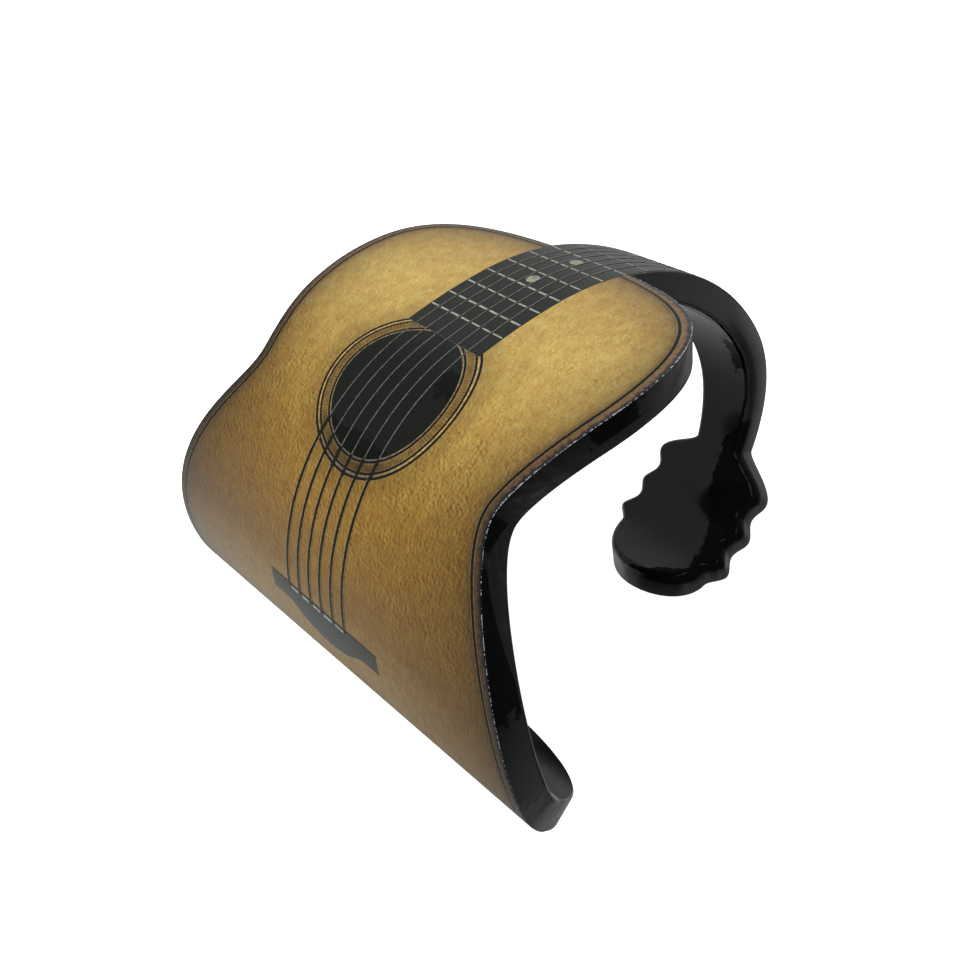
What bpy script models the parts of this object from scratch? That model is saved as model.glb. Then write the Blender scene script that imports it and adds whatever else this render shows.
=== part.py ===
"""Guitar-shaped cuff bracelet: one plastic sheet, cut flat, printed and bent round into a C.

Every piece is drawn in the flat sheet and then carried onto the bend.
In the flat sheet x runs along the neck, with 0 at the neck joint and the tail below 0,
y runs across, and z runs out of the printed face, which lies at 0. Sizes are in millimetres.
"""

import math

import bmesh
import bpy
from mathutils import Matrix, Vector
from mathutils.geometry import convex_hull_2d, interpolate_bezier

MM = 0.001

# Sheet
SHEET_THICKNESS = 3.3
INNER_RIM_CHAMFER = 0.35

# Body outline: distances from the neck joint towards the tail, and half widths
BODY_LENGTH = 80.4
LOWER_BOUT_AT = 57.1
LOWER_BOUT_HALF_WIDTH = 29.45
WAIST_AT = 30.8
WAIST_HALF_WIDTH = 19.8
UPPER_BOUT_AT = 15.7
UPPER_BOUT_HALF_WIDTH = 22.7
SHOULDER_AT = 0.3

# Reach of the outline's curves: how far each keeps its direction beside the places above
TAIL_REACH = 18.3
LOWER_BOUT_TAIL_REACH = 13.4
LOWER_BOUT_WAIST_REACH = 13.1
WAIST_TAIL_REACH = 4.6
WAIST_NECK_REACH = 2.5
UPPER_BOUT_TAIL_REACH = 6.1
UPPER_BOUT_NECK_REACH = 12.7
SHOULDER_REACH = 13.0

# Neck and headstock, whose scalloped sides stand for the tuner heads
NECK_LENGTH = 42.4
NECK_JOINT_HALF_WIDTH = 6.0
NECK_END_HALF_WIDTH = 3.2
FLARE_NECK_REACH = 1.1
FLARE_PEG_REACH = 2.0
FIRST_PEG_FROM_NECK = 4.7
PEG_PITCH = 5.0
PEG_COUNT = 3
FIRST_PEG_HALF_WIDTH = 7.85
LAST_PEG_HALF_WIDTH = 8.45
PEG_NOTCH_DEPTH = 1.0
PEG_STAGGER = 0.7
TIP_HALF_WIDTH = 6.85
HEAD_LENGTH = 23.0

# Bend: radii of the outer face and lengths along it, from the crown to both ends
CROWN_FROM_JOINT = 27.4
CROWN_RADIUS = 24.4
CROWN_TAIL_ARC = 30.4
HIP_RADIUS = 13.1
HIP_ARC = 5.9
TAIL_RADIUS = 122.0
CROWN_HEAD_ARC = 7.4
SHOULDER_RADIUS = 65.0
SHOULDER_ARC = 10.1
NECK_RADIUS = 30.1
NECK_ARC = 35.1
TURN_RADIUS = 16.0
TURN_ARC = 10.6
HEAD_RADIUS = 20.3
BEND_SKEW = math.radians(-2.2)

# Print: ink layers lie on each other, and areas of one layer lie side by side
INK_THICKNESS = 0.06
LAYER_GAP = 0.03
AREA_GAP = 0.04
COAT_MARGIN = 0.30
PURFLING_INSET = 1.15
PURFLING_WIDTH = 0.35

# Soundhole and the widths of the rosette's rings, from the hole outwards
HOLE_FROM_JOINT = 26.4
HOLE_RADIUS = 7.3
INNER_BAND_WIDTH = 0.20
INNER_LINE_WIDTH = 0.20
MAIN_BAND_WIDTH = 0.85
MID_LINE_WIDTH = 0.20
OUTER_BAND_WIDTH = 0.30
OUTER_LINE_WIDTH = 0.25

# Fretboard, drawn from the soundhole up to the place of its nut fret
SCALE_LENGTH = 120.0
JOINT_FRET = 14
JOINT_FRET_AT = 0.9
NUT_FRET = 4
LAST_FRET = 20
FRET_WIDTH = 0.30
FRET_INSET = 0.15
BOARD_MARGIN = 0.26
NUT_WIDTH = 1.0
SINGLE_DOT_FRETS = (5, 7, 9, 15, 17)
SINGLE_DOT_RADIUS = 0.70
DOUBLE_DOT_FRET = 12
DOUBLE_DOT_RADIUS = 0.50
DOUBLE_DOT_HALF_SPREAD = 1.7

# Bridge, saddle and strings
BRIDGE_FROM_JOINT = 50.9
BRIDGE_HALF_WIDTH = 9.35
BRIDGE_TAB_DEPTH = 2.6
BELLY_DEPTH = 2.4
BELLY_HALF_WIDTH = 6.9
BELLY_TAB_REACH = 1.6
BELLY_MIDDLE_REACH = 3.9
SADDLE_INSET = 0.55
SADDLE_WIDTH = 0.36
SADDLE_HALF_WIDTH = 4.4
STRING_COUNT = 6
STRING_WIDTH = 0.36
STRING_TAIL = 0.7
STRING_SADDLE_HALF_SPREAD = 5.0
STRING_NUT_HALF_SPREAD = 2.75

# Fineness of the facets
FACET_ANGLE = math.radians(7.0)
CURVE_POINTS = 11
PEG_STEPS = 8
TIP_STEPS = 8
ARC_STEP = math.radians(9.0)
DOT_SIDES = 12
END_ALLOWANCE = 3.0
SNAP = 0.001
SHARP_ANGLE = math.radians(35.0)


# Outlines in the flat sheet

def curve(start, start_handle, end_handle, end):
    points = [Vector(p) for p in (start, start_handle, end_handle, end)]
    return interpolate_bezier(*points, CURVE_POINTS)


def body_half():
    """Half the body's outline, from the middle of the tail to the middle of the neck joint."""
    tail, lower = -BODY_LENGTH, -LOWER_BOUT_AT
    waist, upper = -WAIST_AT, -UPPER_BOUT_AT
    lower_y, waist_y, upper_y = LOWER_BOUT_HALF_WIDTH, WAIST_HALF_WIDTH, UPPER_BOUT_HALF_WIDTH
    points = curve((tail, 0), (tail, TAIL_REACH), (lower - LOWER_BOUT_TAIL_REACH, lower_y), (lower, lower_y))
    points += curve((lower, lower_y), (lower + LOWER_BOUT_WAIST_REACH, lower_y),
                    (waist - WAIST_TAIL_REACH, waist_y), (waist, waist_y))[1:]
    points += curve((waist, waist_y), (waist + WAIST_NECK_REACH, waist_y),
                    (upper - UPPER_BOUT_TAIL_REACH, upper_y), (upper, upper_y))[1:]
    points += curve((upper, upper_y), (upper + UPPER_BOUT_NECK_REACH, upper_y),
                    (-SHOULDER_AT, SHOULDER_REACH), (-SHOULDER_AT, 0))[1:]
    return points


def inset_half(inset, neck_side):
    """The body's half outline moved inwards, ending on the line y = neck_side at the neck."""
    rim = body_half()
    moved = []
    for before, point, after in zip([rim[0]] + rim[:-1], rim, rim[1:] + [rim[-1]]):
        along = (after - before).normalized()
        moved.append(point + inset * Vector((along.y, -along.x)))
    moved[0] = Vector((inset - BODY_LENGTH, 0.0))
    last = max(i for i, point in enumerate(moved) if point.y > neck_side)
    share = (moved[last].y - neck_side) / (moved[last].y - moved[last + 1].y)
    return moved[:last + 1] + [moved[last].lerp(moved[last + 1], share)]


def closed(half, other_half):
    """A half outline on the y > 0 side, carried on round the y < 0 side to where it began."""
    other = [Vector((p.x, -p.y)) for p in reversed(other_half)]
    return half + [p for p in other if abs(p.y) > SNAP]


def mirrored(half):
    return closed(half, half)


def round_the_tail(half):
    """An open line from the neck's y < 0 side round the tail to its y > 0 side."""
    return [Vector((p.x, -p.y)) for p in reversed(half[1:])] + half


def neck_half_width(x):
    taper = (NECK_JOINT_HALF_WIDTH - NECK_END_HALF_WIDTH) / NECK_LENGTH
    return NECK_JOINT_HALF_WIDTH - taper * x


def board_half_width(x):
    """The board follows the neck and keeps the joint's width over the body."""
    return neck_half_width(max(x, 0.0)) - BOARD_MARGIN


def head_half(lead):
    """Half the headstock: a flare, the scallops moved on by a lead, and a round tip."""
    first = NECK_LENGTH + FIRST_PEG_FROM_NECK + lead
    points = curve((NECK_LENGTH, NECK_END_HALF_WIDTH),
                   (NECK_LENGTH + FLARE_NECK_REACH, NECK_END_HALF_WIDTH),
                   (first - FLARE_PEG_REACH, FIRST_PEG_HALF_WIDTH), (first, FIRST_PEG_HALF_WIDTH))
    last_peg = PEG_COUNT - 1
    scallops = last_peg * PEG_STEPS + PEG_STEPS // 2
    for step in range(1, scallops + 1):
        pegs = step / PEG_STEPS
        crest = FIRST_PEG_HALF_WIDTH
        crest += (LAST_PEG_HALF_WIDTH - FIRST_PEG_HALF_WIDTH) * min(pegs / last_peg, 1.0)
        depth = PEG_NOTCH_DEPTH if pegs <= last_peg else LAST_PEG_HALF_WIDTH - TIP_HALF_WIDTH
        width = crest - depth * (1.0 - math.cos(math.tau * pegs)) / 2.0
        points.append(Vector((first + pegs * PEG_PITCH, width)))
    tip_start = points[-1].x
    tip_length = NECK_LENGTH + HEAD_LENGTH - tip_start
    for step in range(1, TIP_STEPS + 1):
        turn = math.pi / 2.0 * step / TIP_STEPS
        points.append(Vector((tip_start + tip_length * math.sin(turn), TIP_HALF_WIDTH * math.cos(turn))))
    return points


def sheet_outline():
    body = inset_half(0.0, neck_half_width(-SHOULDER_AT))
    return closed(body + head_half(-PEG_STAGGER), body + head_half(PEG_STAGGER))


def coat_outline():
    end = nut_at() + NUT_WIDTH + COAT_MARGIN
    half = inset_half(COAT_MARGIN, neck_half_width(0.0) - COAT_MARGIN)
    half.append(Vector((end, neck_half_width(end) - COAT_MARGIN)))
    return mirrored(half)


def rim_band(outer_inset, inner_inset):
    """A band that follows the body's rim, open where the fretboard crosses it."""
    side = board_half_width(0.0) + AREA_GAP
    outer = round_the_tail(inset_half(outer_inset, side))
    inner = round_the_tail(inset_half(inner_inset, side))
    return outer + inner[::-1]


def arc(radius, first, last):
    """Points round the soundhole, on angles that rings of every radius share."""
    steps = range(math.ceil(first / ARC_STEP), math.floor(last / ARC_STEP) + 1)
    angles = [step * ARC_STEP for step in steps]
    angles = [a for a in angles if first + ARC_STEP / 4 < a < last - ARC_STEP / 4]
    return [Vector((radius * math.cos(a) - HOLE_FROM_JOINT, radius * math.sin(a)))
            for a in [first] + angles + [last]]


def board_end():
    """The board ends where it meets the soundhole."""
    return HOLE_RADIUS - HOLE_FROM_JOINT


def ring_outline(inner, outer):
    """A ring round the soundhole, cut off square by the end of the fretboard."""
    cut = HOLE_RADIUS - AREA_GAP
    outer_turn = math.acos(cut / outer)
    inner_turn = math.acos(cut / inner)
    outside = arc(outer, outer_turn, math.tau - outer_turn)
    inside = arc(inner, inner_turn, math.tau - inner_turn)
    return outside + inside[::-1]


def hole_outline():
    return arc(HOLE_RADIUS - AREA_GAP, 0.0, math.tau)[:-1]


def soundboard_outline(inset, rosette):
    """The wooden field: the rim inset, less the fretboard and the rosette's disc."""
    side = board_half_width(0.0) + AREA_GAP
    turn = math.asin(side / rosette)
    rim = round_the_tail(inset_half(inset, side))
    return rim + arc(rosette, turn, math.tau - turn)


def fret_at(number):
    share = 2.0 ** (-number / 12.0) - 2.0 ** (-JOINT_FRET / 12.0)
    return SCALE_LENGTH * share - JOINT_FRET_AT


def nut_at():
    return fret_at(NUT_FRET)


def bar(start, end, start_half, end_half):
    return mirrored([Vector((start, start_half)), Vector((end, end_half))])


def board_outline():
    end = nut_at() - AREA_GAP
    return mirrored([Vector((x, board_half_width(x))) for x in (board_end(), 0.0, end)])


def fret_outline(number):
    x = fret_at(number)
    half = board_half_width(x) - FRET_INSET
    return bar(x - FRET_WIDTH / 2, x + FRET_WIDTH / 2, half, half)


def dot_outline(fret, y, radius):
    x = (fret_at(fret - 1) + fret_at(fret)) / 2
    turns = [math.tau * i / DOT_SIDES for i in range(DOT_SIDES)]
    return [Vector((x + radius * math.cos(a), y + radius * math.sin(a))) for a in turns]


def bridge_outline():
    top = -BRIDGE_FROM_JOINT
    tab = top - BRIDGE_TAB_DEPTH
    belly = tab - BELLY_DEPTH
    half = [Vector((top, BRIDGE_HALF_WIDTH)), Vector((tab, BRIDGE_HALF_WIDTH))]
    half += curve((tab, BELLY_HALF_WIDTH), (tab, BELLY_HALF_WIDTH - BELLY_TAB_REACH),
                  (belly, BELLY_MIDDLE_REACH), (belly, 0))
    return mirrored(half)


def saddle_at():
    return -BRIDGE_FROM_JOINT - SADDLE_INSET


def string_outline(number):
    """One string, from just below the saddle to the middle of the nut."""
    share = 2.0 * number / (STRING_COUNT - 1) - 1.0
    tail, nut = saddle_at() - STRING_TAIL, nut_at() + NUT_WIDTH / 2
    slope = (STRING_NUT_HALF_SPREAD - STRING_SADDLE_HALF_SPREAD) / (nut - saddle_at())
    tail_y = share * (STRING_SADDLE_HALF_SPREAD - slope * STRING_TAIL)
    nut_y = share * STRING_NUT_HALF_SPREAD
    reach = STRING_WIDTH / 2
    return [Vector((tail, tail_y - reach)), Vector((nut, nut_y - reach)),
            Vector((nut, nut_y + reach)), Vector((tail, tail_y + reach))]


# The bend

def fold_lines():
    """Place along the sheet, place in space and outward direction at each fold, tail to head."""
    tail_arcs = [(CROWN_RADIUS, CROWN_TAIL_ARC), (HIP_RADIUS, HIP_ARC)]
    head_arcs = [(CROWN_RADIUS, CROWN_HEAD_ARC), (SHOULDER_RADIUS, SHOULDER_ARC),
                 (NECK_RADIUS, NECK_ARC), (TURN_RADIUS, TURN_ARC)]
    tail_length = BODY_LENGTH - CROWN_FROM_JOINT + END_ALLOWANCE
    head_length = CROWN_FROM_JOINT + NECK_LENGTH + HEAD_LENGTH + END_ALLOWANCE
    tail_arcs.append((TAIL_RADIUS, tail_length - sum(length for _, length in tail_arcs)))
    head_arcs.append((HEAD_RADIUS, head_length - sum(length for _, length in head_arcs)))
    tail_side = walk(tail_arcs, -1.0)
    head_side = walk(head_arcs, 1.0)
    return tail_side[::-1] + head_side[1:]


def walk(arcs, way):
    """Step along the arcs from the crown, towards the head (way 1) or the tail (way -1)."""
    along, turn, place = -CROWN_FROM_JOINT, 0.0, Vector((0.0, 0.0))
    folds = [(along, place, Vector((0.0, 1.0)))]
    for radius, length in arcs:
        count = math.ceil(length / radius / FACET_ANGLE)
        step = length / radius / count
        for _ in range(count):
            middle = turn - way * step / 2
            chord = 2.0 * radius * math.sin(step / 2)
            place = place + way * chord * Vector((math.cos(middle), math.sin(middle)))
            turn -= way * step
            along += way * radius * step
            folds.append((along, place, Vector((-math.sin(turn), math.cos(turn)))))
    return folds


def bend(point, folds):
    """Carry a point of the skewed flat sheet onto the facet between its two fold lines."""
    i = max(1, min(sum(fold[0] < point.x for fold in folds), len(folds) - 1))
    (start, start_place, start_out), (end, end_place, end_out) = folds[i - 1], folds[i]
    share = (point.x - start) / (end - start)
    place = start_place.lerp(end_place, share) + start_out.lerp(end_out, share) * point.z
    return Vector((place.x, point.y, place.y)) * MM


# Pieces

def material(name, colour, roughness):
    finish = bpy.data.materials.new(name)
    finish.use_nodes = True
    shader = finish.node_tree.nodes["Principled BSDF"]
    shader.inputs["Base Color"].default_value = (*colour, 1.0)
    shader.inputs["Roughness"].default_value = roughness
    shader.inputs["Metallic"].default_value = 0.0
    return finish


def flat_solid(outline, bottom, top, chamfer):
    """An outline of the flat sheet as a plate between two heights, its lower rim chamfered."""
    shape = bmesh.new()
    face = shape.faces.new([shape.verts.new((p.x, p.y, bottom)) for p in outline])
    lower_rim = list(face.edges)
    raised = bmesh.ops.extrude_face_region(shape, geom=[face], use_keep_orig=True)["geom"]
    raised = [v for v in raised if isinstance(v, bmesh.types.BMVert)]
    bmesh.ops.translate(shape, verts=raised, vec=(0.0, 0.0, top - bottom))
    bmesh.ops.recalc_face_normals(shape, faces=shape.faces)
    if chamfer:
        bmesh.ops.bevel(shape, geom=lower_rim, offset=chamfer, segments=1, affect="EDGES")
    return shape


def fold_solid(shape, folds):
    """Skew the plate about the crown, cut its faces at the fold lines and bend it."""
    crown = Vector((-CROWN_FROM_JOINT, 0.0, 0.0))
    bmesh.ops.rotate(shape, verts=shape.verts, cent=crown, matrix=Matrix.Rotation(BEND_SKEW, 3, "Z"))
    low, high = min(v.co.x for v in shape.verts), max(v.co.x for v in shape.verts)
    for along, _, _ in folds:
        if low < along < high:
            geometry = shape.verts[:] + shape.edges[:] + shape.faces[:]
            bmesh.ops.bisect_plane(shape, geom=geometry, dist=SNAP,
                                   plane_co=(along, 0.0, 0.0), plane_no=(1.0, 0.0, 0.0))
    bmesh.ops.triangulate(shape, faces=shape.faces)
    for vert in shape.verts:
        vert.co = bend(vert.co, folds)


def add_piece(name, outline, heights, finish, holder, folds, chamfer=0.0):
    shape = flat_solid(outline, *heights, chamfer)
    fold_solid(shape, folds)
    mesh = bpy.data.meshes.new(name)
    shape.to_mesh(mesh)
    shape.free()
    mesh.shade_smooth()
    mesh.set_sharp_from_angle(angle=SHARP_ANGLE)
    mesh.materials.append(material(name, *finish))
    piece = bpy.data.objects.new(name, mesh)
    piece.parent = holder
    bpy.context.scene.collection.objects.link(piece)
    return piece


def layer(number):
    """Heights of an ink layer above the printed face, the base coat being layer 0."""
    bottom = LAYER_GAP + number * (INK_THICKNESS + LAYER_GAP)
    return bottom, bottom + INK_THICKNESS


BLACK_GLOSS = ((0.010, 0.011, 0.011), 0.12)
WHITE_INK = ((0.78, 0.77, 0.74), 0.45)
WOOD_INK = ((0.45, 0.28, 0.085), 0.35)
BORDER_INK = ((0.14, 0.060, 0.022), 0.35)
LINE_INK = ((0.014, 0.012, 0.010), 0.35)
TAN_INK = ((0.46, 0.31, 0.13), 0.35)
BROWN_INK = ((0.20, 0.105, 0.040), 0.35)
HOLE_INK = ((0.024, 0.026, 0.025), 0.25)
BOARD_INK = ((0.038, 0.040, 0.038), 0.30)
FRET_INK = ((0.52, 0.53, 0.50), 0.40)
DOT_INK = ((0.38, 0.37, 0.26), 0.40)
STRING_INK = ((0.030, 0.030, 0.028), 0.35)
BRIDGE_INK = ((0.045, 0.046, 0.044), 0.30)
SADDLE_INK = ((0.62, 0.60, 0.50), 0.40)

ROSETTE = (
    ("rosette_inner_band", INNER_BAND_WIDTH, TAN_INK),
    ("rosette_inner_line", INNER_LINE_WIDTH, LINE_INK),
    ("rosette_main_band", MAIN_BAND_WIDTH, BROWN_INK),
    ("rosette_mid_line", MID_LINE_WIDTH, LINE_INK),
    ("rosette_outer_band", OUTER_BAND_WIDTH, TAN_INK),
    ("rosette_outer_line", OUTER_LINE_WIDTH, LINE_INK),
)


def flat_pieces():
    """Name, outline, heights and finish of each piece, from the sheet upwards."""
    yield "cuff_blank", sheet_outline(), (-SHEET_THICKNESS, 0.0), BLACK_GLOSS
    yield "base_coat", coat_outline(), layer(0), WHITE_INK

    purfling_end = PURFLING_INSET + PURFLING_WIDTH
    yield "border_print", rim_band(COAT_MARGIN, PURFLING_INSET - AREA_GAP), layer(1), BORDER_INK
    yield "purfling_line", rim_band(PURFLING_INSET, purfling_end - AREA_GAP), layer(1), LINE_INK
    radius = HOLE_RADIUS
    for name, width, finish in ROSETTE:
        yield name, ring_outline(radius, radius + width - AREA_GAP), layer(1), finish
        radius += width
    yield "soundboard_print", soundboard_outline(purfling_end, radius), layer(1), WOOD_INK
    yield "soundhole_print", hole_outline(), layer(1), HOLE_INK
    yield "fretboard_print", board_outline(), layer(1), BOARD_INK
    nut_end = nut_at() + NUT_WIDTH
    nut = bar(nut_at(), nut_end, board_half_width(nut_at()), board_half_width(nut_end))
    yield "nut_print", nut, layer(1), SADDLE_INK

    for number in range(NUT_FRET + 1, LAST_FRET + 1):
        yield f"fret_{number:02d}", fret_outline(number), layer(2), FRET_INK
    for fret in SINGLE_DOT_FRETS:
        yield f"dot_{fret:02d}", dot_outline(fret, 0.0, SINGLE_DOT_RADIUS), layer(2), DOT_INK
    for side, y in (("a", -DOUBLE_DOT_HALF_SPREAD), ("b", DOUBLE_DOT_HALF_SPREAD)):
        outline = dot_outline(DOUBLE_DOT_FRET, y, DOUBLE_DOT_RADIUS)
        yield f"dot_{DOUBLE_DOT_FRET}{side}", outline, layer(2), DOT_INK
    yield "bridge_print", bridge_outline(), layer(2), BRIDGE_INK

    saddle = saddle_at()
    outline = bar(saddle - SADDLE_WIDTH / 2, saddle + SADDLE_WIDTH / 2, SADDLE_HALF_WIDTH, SADDLE_HALF_WIDTH)
    yield "saddle_print", outline, layer(3), SADDLE_INK
    for number in range(STRING_COUNT):
        yield f"string_{number + 1}", string_outline(number), layer(4), STRING_INK


# Rest

def rest_tilt(points):
    """Turn about Y that sets the tail and the headstock's underside down on one level."""
    side = [(p.x, p.z) for p in points]
    hull = [side[i] for i in convex_hull_2d(side)]
    feet = []
    for start, end in zip(hull, hull[1:] + hull[:1]):
        (x0, z0), (x1, z1) = sorted((start, end))
        if x0 <= 0.0 < x1:
            feet.append((z0 - x0 * (z1 - z0) / (x1 - x0), math.atan2(z1 - z0, x1 - x0)))
    return min(feet)[1]


def set_down(holder, pieces):
    """Stand the cuff on its two ends, with the origin under the middle of its box."""
    turn = Matrix.Rotation(rest_tilt([v.co for v in pieces[0].data.vertices]), 3, "Y")
    points = [turn @ v.co for piece in pieces for v in piece.data.vertices]
    low = [min(p[axis] for p in points) for axis in range(3)]
    high = [max(p[axis] for p in points) for axis in range(3)]
    holder.rotation_euler = turn.to_euler()
    holder.location = (-(low[0] + high[0]) / 2, -(low[1] + high[1]) / 2, -low[2])


def main():
    for thing in list(bpy.data.objects):
        bpy.data.objects.remove(thing, do_unlink=True)
    holder = bpy.data.objects.new("cuff", None)
    bpy.context.scene.collection.objects.link(holder)
    folds = fold_lines()
    pieces = []
    for name, outline, heights, finish in flat_pieces():
        chamfer = 0.0 if pieces else INNER_RIM_CHAMFER
        pieces.append(add_piece(name, outline, heights, finish, holder, folds, chamfer))
    set_down(holder, pieces)


main()
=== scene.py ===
"""Looks of the guitar-shaped cuff bracelet.

The sheet and each ink area are drawn in the flat, as the solids are but finer, and carried onto
the smooth bend. In the flat sheet x runs along the neck, with 0 at the neck joint and the tail
below 0, y runs across, and z runs out of the printed face, which lies at 0. Sizes are in
millimetres until a mesh is placed.
"""

import math
import random

import bmesh
import bpy
from mathutils import Matrix, Vector, noise
from mathutils.geometry import interpolate_bezier
from mathutils.kdtree import KDTree


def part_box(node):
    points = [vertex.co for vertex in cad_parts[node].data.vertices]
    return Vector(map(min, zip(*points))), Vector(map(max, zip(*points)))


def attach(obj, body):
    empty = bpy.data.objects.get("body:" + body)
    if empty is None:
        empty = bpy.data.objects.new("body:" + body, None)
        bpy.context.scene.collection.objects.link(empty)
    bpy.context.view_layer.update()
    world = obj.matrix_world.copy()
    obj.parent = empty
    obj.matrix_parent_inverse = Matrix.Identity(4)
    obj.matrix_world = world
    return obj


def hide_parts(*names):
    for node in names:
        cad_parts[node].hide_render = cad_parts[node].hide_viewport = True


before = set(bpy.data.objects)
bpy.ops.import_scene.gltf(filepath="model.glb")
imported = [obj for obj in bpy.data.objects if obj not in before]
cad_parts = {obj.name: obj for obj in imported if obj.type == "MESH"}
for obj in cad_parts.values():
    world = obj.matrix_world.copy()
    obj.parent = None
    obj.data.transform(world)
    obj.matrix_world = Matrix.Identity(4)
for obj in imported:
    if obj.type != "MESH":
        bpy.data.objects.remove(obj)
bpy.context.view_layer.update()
MM = 0.001

# Sheet
SHEET_THICKNESS = 3.3
REST_LIFT = 0.035
INNER_RIM_ROUND = 0.8
OUTER_RIM_ROUND = 0.10
RIM_SEGMENTS = 5
# Share of the inner rounding that the body keeps, and where along the neck it grows to the whole
BODY_RIM_SHARE = 0.4
ROUND_FROM, ROUND_TO = 32.0, 40.0

# Body outline: distances from the neck joint towards the tail, and half widths
BODY_LENGTH = 80.4
LOWER_BOUT_AT = 57.1
LOWER_BOUT_HALF_WIDTH = 29.43
WAIST_AT = 30.8
WAIST_HALF_WIDTH = 19.8
UPPER_BOUT_AT = 15.7
UPPER_BOUT_HALF_WIDTH = 22.7
SHOULDER_AT = 0.3

# Reach of the outline's curves: how far each keeps its direction beside the places above
TAIL_REACH = 18.3
LOWER_BOUT_TAIL_REACH = 13.4
LOWER_BOUT_WAIST_REACH = 13.1
WAIST_TAIL_REACH = 4.6
WAIST_NECK_REACH = 2.5
UPPER_BOUT_TAIL_REACH = 6.1
UPPER_BOUT_NECK_REACH = 12.7
SHOULDER_REACH = 13.0

# Neck and headstock, whose scalloped sides stand for the tuner heads
NECK_LENGTH = 42.4
NECK_JOINT_HALF_WIDTH = 6.0
NECK_END_HALF_WIDTH = 3.2
FLARE_NECK_REACH = 1.1
FLARE_PEG_REACH = 2.0
FIRST_PEG_FROM_NECK = 4.7
PEG_PITCH = 5.0
PEG_COUNT = 3
FIRST_PEG_HALF_WIDTH = 7.85
LAST_PEG_HALF_WIDTH = 8.45
PEG_NOTCH_DEPTH = 1.0
PEG_STAGGER = 0.7
TIP_HALF_WIDTH = 6.85
HEAD_LENGTH = 23.0

# Bend: radii of the outer face and lengths along it, from the crown to both ends
CROWN_FROM_JOINT = 27.4
CROWN_RADIUS = 24.4
CROWN_TAIL_ARC = 30.4
HIP_RADIUS = 13.1
HIP_ARC = 5.9
TAIL_RADIUS = 122.0
CROWN_HEAD_ARC = 7.4
SHOULDER_RADIUS = 65.0
SHOULDER_ARC = 10.1
NECK_RADIUS = 30.1
NECK_ARC = 35.1
TURN_RADIUS = 16.0
TURN_ARC = 10.6
HEAD_RADIUS = 20.3
BEND_SKEW = math.radians(-2.2)
REST_TILT = math.radians(-20.044)

# Print
AREA_GAP = 0.02
COAT_MARGIN = 0.40
BORDER_MARGIN = 0.16
PURFLING_INSET = 0.98
PURFLING_WIDTH = 0.30
LIGHT_LINE = 0.08

# Bottom and top of each layer of the print
COAT = (0.004, 0.012)
AREA = (0.014, 0.030)
MARK = (0.032, 0.046)
SADDLE = (0.048, 0.060)
STRING = (0.050, 0.068)

# White along the near edge, partly white coat bared where the print chipped and partly painted glints of the
# cut edge: flecks beside the body, sparser flecks beside the neck
FLECK_INSET = 0.02
FLECK_WIDTH = 0.13
FLECK_LEAST = 0.03
NECK_FLECK_COUNT = 24
NECK_FLECK_START = 1.0
NECK_FLECK_STEP = 0.7
NECK_FLECK_SHARE = 0.6
NECK_FLECK_INSET = 0.12
NECK_FLECK_LENGTHS = (0.15, 0.7)
NECK_FLECK_WIDTHS = (0.05, 0.12)

# Soundhole and the widths of the rosette's rings, from the hole outwards
HOLE_FROM_JOINT = 26.55
HOLE_SHIFT = -0.30
HOLE_RADIUS = 7.3
INNER_BAND_WIDTH = 0.14
INNER_LINE_WIDTH = 0.26
MAIN_BAND_WIDTH = 0.84
MID_LINE_WIDTH = 0.26
OUTER_BAND_WIDTH = 0.22
OUTER_LINE_WIDTH = 0.28

# Fretboard, drawn from the soundhole up to the place of its nut fret
SCALE_LENGTH = 120.0
JOINT_FRET = 14
JOINT_FRET_AT = 0.9
NUT_FRET = 4
LAST_FRET = 20
FRET_WIDTH = 0.21
FRET_INSET = 0.15
FRET_GAP = 0.22
BOARD_OVERLAP = 0.25
BOARD_MARGIN = 0.26
NUT_WIDTH = 1.0
SINGLE_DOT_FRETS = (5, 7, 9, 15, 17)
SINGLE_DOT_RADIUS = 0.70
DOUBLE_DOT_FRET = 12
DOUBLE_DOT_RADIUS = 0.50
DOUBLE_DOT_HALF_SPREAD = 1.7

# Bridge, saddle and strings
BRIDGE_FROM_JOINT = 50.8
BRIDGE_SHIFT = -0.55
BRIDGE_LINE = 0.14
BRIDGE_HALF_WIDTH = 9.35
BRIDGE_TAB_DEPTH = 2.6
BELLY_DEPTH = 2.25
BELLY_HALF_WIDTH = 6.9
BELLY_TAB_REACH = 1.6
BELLY_MIDDLE_REACH = 3.9
SADDLE_INSET = 0.55
SADDLE_WIDTH = 0.29
SADDLE_SHARE = 0.66
STRING_COUNT = 6
STRING_WIDTH = 0.40
STRING_SADDLE_HALF_SPREAD = 5.0
STRING_NUT_HALF_SPREAD = 2.8
STRING_SHIFT = 0.23
STRING_GLOW = 0.08
GLOW_TO_HOLE = 2.2
PALE_REACH = 0.07

# Wood: colours along the sheet, from the tail to the neck joint
WOOD_STOPS = (
    (-57.0, (0.540, 0.330, 0.095)),
    (-48.0, (0.295, 0.155, 0.027)),
    (-36.0, (0.350, 0.190, 0.026)),
    (-15.0, (0.555, 0.378, 0.097)),
    (-3.0, (0.500, 0.310, 0.078)),
)
RIM_BROWN = (0.30, 0.28, 0.30)
HALO_FROM, HALO_TO, HALO_SHADE = 9.3, 12.5, 0.70

# Rosette: rays round the whole main band, and where the rings darken on the tail side of the hole
RAY_COUNT = 150.0
RING_DARK = (-8.5, -4.0)

# Heights in the sheet where a mask begins and is whole: the inner face, and the wall above its rim
INNER_FACE = (-3.1, -3.3)
ABOVE_RIM = (-3.0, -2.8)

# Relief of the black sheet: its faces, the waves of its cut sides and the scratches on them
FACE_RELIEF = 0.175
SIDE_RELIEF = 0.315
SCRATCH_RELIEF = 0.021

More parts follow.
